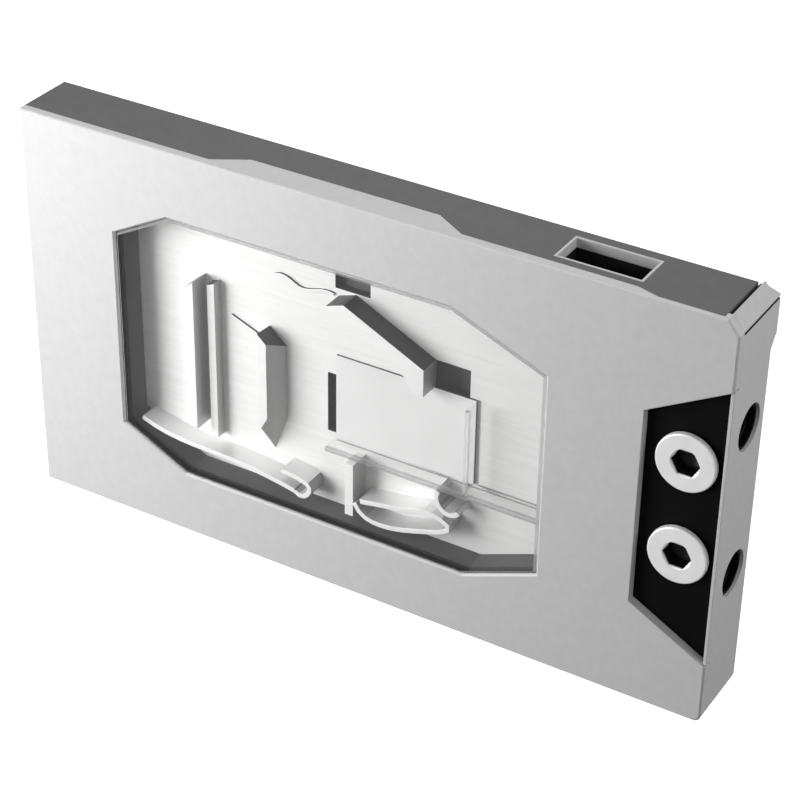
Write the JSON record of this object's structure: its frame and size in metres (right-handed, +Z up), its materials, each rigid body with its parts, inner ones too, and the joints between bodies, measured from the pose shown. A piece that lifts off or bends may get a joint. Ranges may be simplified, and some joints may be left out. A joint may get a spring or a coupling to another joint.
{
  "type": "liquid cooling cold plate",
  "caption": "Full-cover liquid cold plate for a graphics card: windowed silver cover, clear chamber lid, ribbed plated base and a black port block at one end.",
  "frame": {"origin": "centre of the bottom long edge, under the middle of the bounding box, where the block stands", "axes": "+X along the length towards the port end, +Y back from the windowed front face towards the card, +Z up"},
  "size_m": [0.234, 0.0264, 0.133],
  "materials": {
    "silver_anodised": "bead-blasted, clear anodised",
    "dark_anodised": "dark grey anodised",
    "black_plastic": "matt moulded",
    "dark_acetal": "milled acetal, satin",
    "black_acetal": "milled acetal, satin",
    "clear_acrylic": "polished clear acrylic",
    "nickel_copper": "nickel-plated copper, satin milled",
    "nickel_sheet": "nickel-plated sheet, satin",
    "nickel_plug": "nickel-plated brass, turned",
    "steel": "zinc-plated screws and posts",
    "seal_rubber": "soft black seal"
  },
  "bodies": {
    "root": {"base_seal": "seal_rubber", "channel_frame": "dark_acetal", "clamp_screws": "steel", "clear_lid": "clear_acrylic", "cold_plate": "nickel_copper", "connector_well": "black_plastic", "cover_posts": "steel", "end_plate": "silver_anodised", "end_plate_screws": "steel", "fin_cover": "nickel_sheet", "front_cover": "silver_anodised", "housing_frame": "dark_anodised", "lid_seal": "seal_rubber", "plug_seal_lower": "seal_rubber", "plug_seal_upper": "seal_rubber", "port_plug_lower": "nickel_plug", "port_plug_upper": "nickel_plug", "port_terminal": "black_acetal", "rail_screws": "steel", "side_gasket": "seal_rubber", "slot_bezel": "silver_anodised"}
  },
  "joints": []
}
